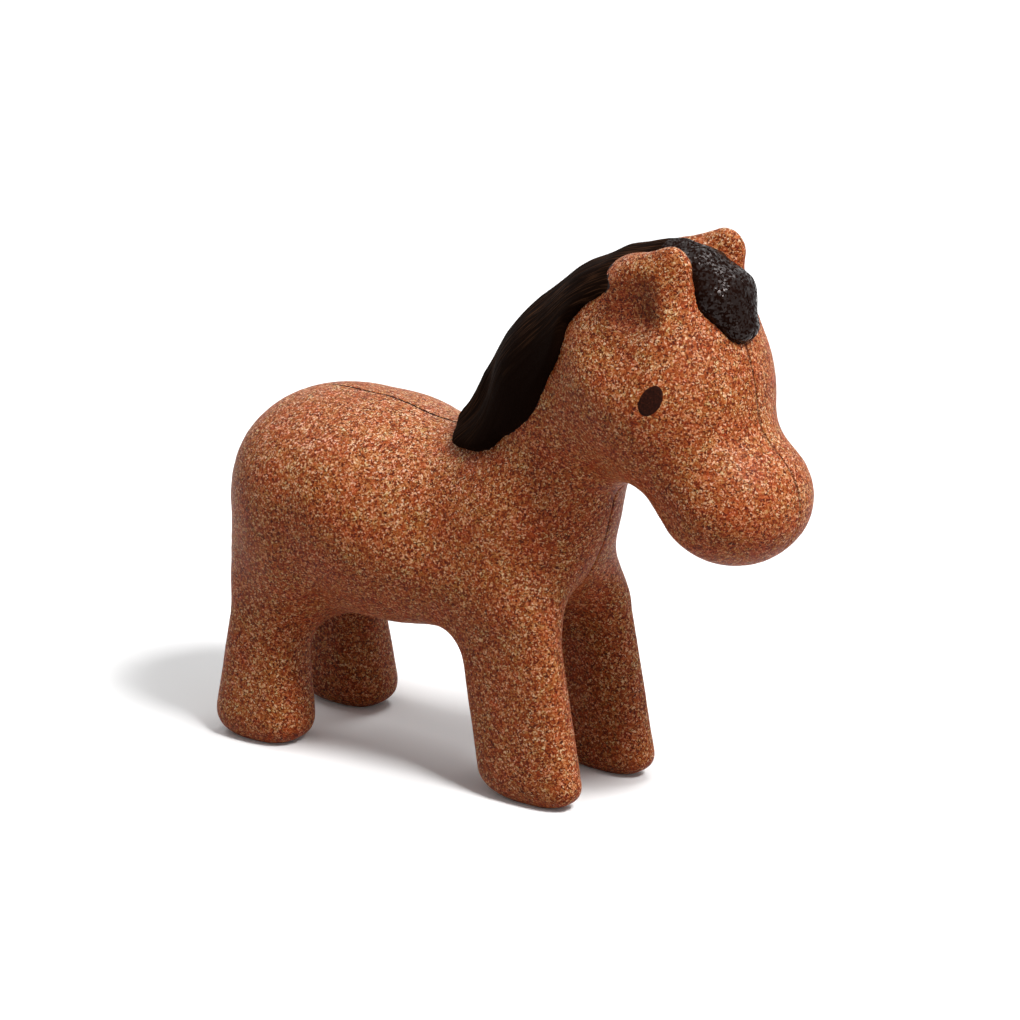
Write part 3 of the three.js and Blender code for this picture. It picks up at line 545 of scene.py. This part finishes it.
# Pale strands near the crest: partly thin paint, partly a painted highlight on the crest's top.
thin_paint_and_highlight = add(paint, "ShaderNodeMath", {
    0: add(paint, "ShaderNodeMapRange", {0: streak.outputs["Fac"], 1: 0.52, 2: 0.72}).outputs[0],
    1: add(paint, "ShaderNodeSeparateXYZ", {0: strand}).outputs[2],
}, operation="MULTIPLY").outputs[0]
colour = add(paint, "ShaderNodeMix", {
    0: thin_paint_and_highlight, 6: linear("#0e0502"), 7: linear("#4a3020")}, data_type="RGBA").outputs[2]
grit = add(paint, "ShaderNodeTexNoise", {
    "Vector": add(paint, "ShaderNodeTexCoord").outputs["Object"],
    "Scale": 1 / GRIT, "Detail": 2.0})
bumps = add(paint, "ShaderNodeBump", {
    "Height": grit.outputs["Fac"], "Strength": 0.6, "Distance": GRIT_HEIGHT})
film = add(paint, "ShaderNodeBsdfPrincipled", {
    "Base Color": colour, "Normal": bumps.outputs[0], "Roughness": 0.75,
    "IOR": 1.5, "Specular IOR Level": 0.01,
})
add(paint, "ShaderNodeOutputMaterial", {0: film.outputs[0]})

# The same paint where it ran together on the forelock: a thick satin skin over crumbs of a third of
# a millimetre. Each crumb tilts it another way, so some glint while the next stay dark.
PAINT_CRUMB = 0.32 * MM
pool = start_material("pooled_satin_paint")
thick = add(pool, "ShaderNodeAttribute", attribute_name="thick_paint").outputs["Fac"]
crumb = add(pool, "ShaderNodeTexVoronoi", {
    "Vector": add(pool, "ShaderNodeTexCoord").outputs["Object"], "Scale": 1 / PAINT_CRUMB,
}, feature="F1")
tilt = add(pool, "ShaderNodeVectorMath", {
    0: add(pool, "ShaderNodeVectorMath", {
        0: crumb.outputs["Color"], 1: (0.5, 0.5, 0.5)}, operation="SUBTRACT").outputs[0],
    "Scale": add(pool, "ShaderNodeMapRange", {0: thick, 3: 0.2, 4: 0.34}).outputs[0],
}, operation="SCALE").outputs[0]
tilted = add(pool, "ShaderNodeVectorMath", {
    0: add(pool, "ShaderNodeVectorMath", {
        0: add(pool, "ShaderNodeNewGeometry").outputs["Normal"], 1: tilt,
    }, operation="ADD").outputs[0],
}, operation="NORMALIZE").outputs[0]
polish = add(pool, "ShaderNodeMath", {
    0: thick,
    1: add(pool, "ShaderNodeMapRange", {
        0: add(pool, "ShaderNodeSeparateColor", {0: crumb.outputs["Color"]}).outputs[2],
        1: 0.35, 2: 0.6}).outputs[0],
}, operation="MULTIPLY").outputs[0]
film = add(pool, "ShaderNodeBsdfPrincipled", {
    "Base Color": linear("#120603"), "Normal": tilted,
    "Roughness": add(pool, "ShaderNodeMapRange", {0: polish, 3: 0.8, 4: 0.16}).outputs[0],
    "IOR": 1.5, "Specular IOR Level": 0.05, "Specular Tint": linear("#ffb8a8"),
    "Coat Weight": add(pool, "ShaderNodeMath", {
        0: polish, 1: 0.35}, operation="MULTIPLY").outputs[0],
    "Coat Roughness": 0.22, "Coat IOR": 1.5, "Coat Normal": tilted,
})
add(pool, "ShaderNodeOutputMaterial", {0: film.outputs[0]})

MANE_STEP, STRAND_RELIEF = 0.4, 0.05
# The pooled paint starts at a ragged line across the poll, and is thickest 3.5 mm further forward.
POOL_X, POOL_RAGGED, THICK_FROM_X, THICK_OVER = 71.5, 0.8, 69, 6
points, quads = skin_of(
    mane_half, np.arange(29.8, 89.4, MANE_STEP),
    np.concatenate([[-0.3, -0.05, 0.1, 0.3, 0.6], np.arange(0.95, 15.0, MANE_STEP)]),
    np.arange(50.2, 94.2, MANE_STEP),
)
normal = normals_of(points, quads)
places = comb(points)
middles = points[quads].mean(axis=1)
pooled = middles[:, 0] + POOL_RAGGED * unevenness(middles, 1.5, 33) > POOL_X
lift = STRAND_RELIEF * unevenness(places * (1, 1 / 9, 0), 0.8, 31)
lift = lift * np.clip(points[:, 1] / 0.5, 0, 1) * (body(points) > -0.3)
for side in ("right", "left"):
    half = piece(
        "mane_and_forelock_" + side, points + normal * lift[:, None], quads.tolist(),
        side == "left", "mane_half_" + side, paint,
    )
    note(half, "strand_place", places)
    note(half, "thick_paint", np.clip((points[:, 0] - THICK_FROM_X) / THICK_OVER, 0, 1))
    half.data.materials.append(pool)
    half.data.polygons.foreach_set("material_index", pooled.astype(np.int32))


# The tail: a leaf of the same pressing on the back of the rump, painted as the mane is.
tail_places = np.array([[0, 44.2], [0, 37.2], [0, 25.2]])
tail_radii = np.array([2.4, 4.4, 2.2])
TAIL_RELIEF, TAIL_BEHIND_RUMP, TAIL_EDGE_ROUND, TAIL_RIM_ROUND, TAIL_STEP = 1.8, 9.0, 2.0, 0.4, 0.3


def tail_half(p):
    """The left half of the tail, rooted a little way inside the rump."""
    behind = p[..., 0] - RUMP[0] + TAIL_BEHIND_RUMP
    raised = cut(torso(p) - TAIL_RELIEF, behind, TAIL_EDGE_ROUND)
    leaf = outline(p[..., 1], p[..., 2], tail_places, tail_radii, TAIL_EDGE_ROUND)
    form = cut(cut(raised, leaf, TAIL_EDGE_ROUND), -body(p) - ROOT_DEPTH, ROOT_ROUND)
    return cut(form, -p[..., 1], TAIL_RIM_ROUND)


points, quads = skin_of(
    tail_half, np.arange(-12.6, 1.0, TAIL_STEP),
    np.concatenate([[-0.3, -0.05, 0.1, 0.3], np.arange(0.55, 6.0, TAIL_STEP)]),
    np.arange(20.6, 53.0, TAIL_STEP),
)
normal = normals_of(points, quads)
places = np.stack([points[:, 1], points[:, 2], np.full(len(points), 0.4)], -1)
lift = STRAND_RELIEF * unevenness(places * (1, 1 / 9, 0), 0.8, 41)
lift = lift * np.clip(points[:, 1] / 0.5, 0, 1) * (body(points) > -0.3)
for side in ("right", "left"):
    half = piece(
        "tail_" + side, points + normal * lift[:, None], quads.tolist(), side == "left",
        "tail_half_" + side, paint,
    )
    note(half, "strand_place", places)


# The eyes: ovals of dark brown ink, pad printed on the sides of the head, so thin that the
# composite's grain shows through as faint paler specks.
ink = start_material("dark_brown_printing_ink")
where = add(ink, "ShaderNodeTexCoord").outputs["Object"]
INK_GRAIN, INK_RELIEF = 0.3 * MM, 0.05 * MM
grain = add(ink, "ShaderNodeTexNoise", {
    "Vector": where, "Scale": 1 / INK_GRAIN, "Detail": 3.0})
colour = ramp(add(ink, "ShaderNodeValToRGB", {0: grain.outputs["Fac"]}), [
    (0.35, "#1c0905"), (0.6, "#2c120a"), (0.85, "#522618"),
]).outputs[0]
bumps = add(ink, "ShaderNodeBump", {
    "Height": grain.outputs["Fac"], "Strength": 0.4, "Distance": INK_RELIEF})
film = add(ink, "ShaderNodeBsdfPrincipled", {
    "Base Color": colour, "Roughness": 0.65, "Normal": bumps.outputs[0],
    "IOR": 1.5, "Specular IOR Level": 0.05,
})
add(ink, "ShaderNodeOutputMaterial", {0: film.outputs[0]})

# Each eye is centred where a line across the horse leaves the head, and leans forward at its top.
EYE_X, EYE_Z, EYE_LEAN = 78.3, 70.7, math.radians(30)
EYE_HALF_WIDTH, EYE_HALF_HEIGHT = 1.62, 2.55
INK_THICKNESS, INK_EDGE_DROP, INK_ROOT = 0.05, 0.04, 0.4
inner, outer = 0.0, 30.0
for _ in range(40):
    middle = (inner + outer) / 2
    if body(np.array([EYE_X, middle, EYE_Z])) < 0:
        inner = middle
    else:
        outer = middle
centre = np.array([EYE_X, inner, EYE_Z])


def slope_at(p):
    """The direction out of the body at each point."""
    slope = np.stack([body(p + d) - body(p - d) for d in np.eye(3) * 0.05], -1)
    return slope / np.linalg.norm(slope, axis=-1, keepdims=True)


out = slope_at(centre)
up = np.array([math.sin(EYE_LEAN), 0, math.cos(EYE_LEAN)])
up = up - out * (up @ out)
up = up / np.linalg.norm(up)
side_way = np.cross(out, up)
rings, spokes = 8, 48
turn = np.arange(spokes) * 2 * math.pi / spokes
wobble = 1 + 0.02 * unevenness(np.stack([np.cos(turn), np.sin(turn), turn * 0], -1), 0.4, 51)
layers = [(r / rings, INK_THICKNESS) for r in range(1, rings + 1)] + [(1.0, -INK_ROOT)]
points = [centre + out * INK_THICKNESS]
for share, stand in layers:
    ring = (
        centre
        + side_way * (np.cos(turn) * EYE_HALF_WIDTH * share * wobble)[:, None]
        + up * (np.sin(turn) * EYE_HALF_HEIGHT * share * wobble)[:, None]
    )
    for _ in range(6):
        ring = ring - out * body(ring)[:, None]
    drop = INK_EDGE_DROP if share == 1.0 and stand > 0 else 0.0
    points.extend(ring + slope_at(ring) * (stand - drop))
points.append(centre - out * INK_ROOT)
faces = []
for n in range(spokes):
    m = (n + 1) % spokes
    faces.append((0, 1 + n, 1 + m))
    for layer in range(len(layers) - 1):
        a, b = 1 + layer * spokes, 1 + (layer + 1) * spokes
        faces.append((a + n, b + n, b + m, a + m))
    last = 1 + (len(layers) - 1) * spokes
    faces.append((last + n, len(points) - 1, last + m))
for side in ("right", "left"):
    piece(
        "eye_print_" + side, np.array(points), faces, side == "left",
        "eye_" + side, ink,
    )


# The floor: white studio card. To the camera and in reflections its colour is pure white, so that
# near the horse only the horse's own soft shadow shows on it. The lamps don't reach its far edge,
# which a low camera sees as grey.
def background_rays(material):
    """1 for rays that show the background: from the camera, reflected or let through."""
    path = add(material, "ShaderNodeLightPath")
    either = add(material, "ShaderNodeMath", {
        0: path.outputs["Is Camera Ray"], 1: path.outputs["Is Glossy Ray"]}, operation="MAXIMUM")
    return add(material, "ShaderNodeMath", {
        0: either.outputs[0], 1: path.outputs["Is Transmission Ray"],
    }, operation="MAXIMUM").outputs[0]


card = start_material("white_studio_card")
white = add(card, "ShaderNodeMix", {
    0: background_rays(card), 6: linear("#959595"), 7: linear("#ffffff")}, data_type="RGBA")
face = add(card, "ShaderNodeBsdfDiffuse", {"Color": white.outputs[2]})
add(card, "ShaderNodeOutputMaterial", {0: face.outputs[0]})
mesh = bpy.data.meshes.new("floor_card")
FLOOR_HALF = 4
corners = [(x * FLOOR_HALF, y * FLOOR_HALF, 0) for x, y in ((-1, -1), (1, -1), (1, 1), (-1, 1))]
mesh.from_pydata(corners, [], [(0, 1, 2, 3)])
mesh.materials.append(card)
floor = bpy.data.objects.new("floor_card", mesh)
bpy.context.scene.collection.objects.link(floor)

# The lamps: a soft key above the horse's nose, weaker ones above its tail and its left side, a low
# one in front of its chest, and an even white room around. Each has its place in metres, the side
# of its square in metres and its power in watts.
ROOM_LEVEL = 0.31
for name, spot, size, power in (
    ("nose_lamp", (0.8, -0.15, 1.15), 0.34, 21.5),
    ("tail_lamp", (-0.7, 0.0, 1.2), 0.5, 2.6),
    ("left_lamp", (0.0, 0.7, 1.2), 0.5, 5.4),
    ("chest_lamp", (1.1, -0.6, 0.4), 0.5, 1.3),
):
    lamp = bpy.data.objects.new(name, bpy.data.lights.new(name, "AREA"))
    lamp.data.size, lamp.data.energy = size, power
    lamp.location = spot
    lamp.rotation_mode = "QUATERNION"
    lamp.rotation_quaternion = (look_at - Vector(spot)).to_track_quat("-Z", "Y")
    bpy.context.scene.collection.objects.link(lamp)
world = bpy.data.worlds.new("white_room")
world.use_nodes = True
world.node_tree.nodes.clear()
level = add(world, "ShaderNodeMapRange", {0: background_rays(world), 3: ROOM_LEVEL, 4: 1.0})
sky = add(world, "ShaderNodeBackground", {"Color": (1, 1, 1, 1), "Strength": level.outputs[0]})
add(world, "ShaderNodeOutputWorld", {0: sky.outputs[0]})
bpy.context.scene.world = world
bpy.context.scene.view_settings.view_transform = "Standard"
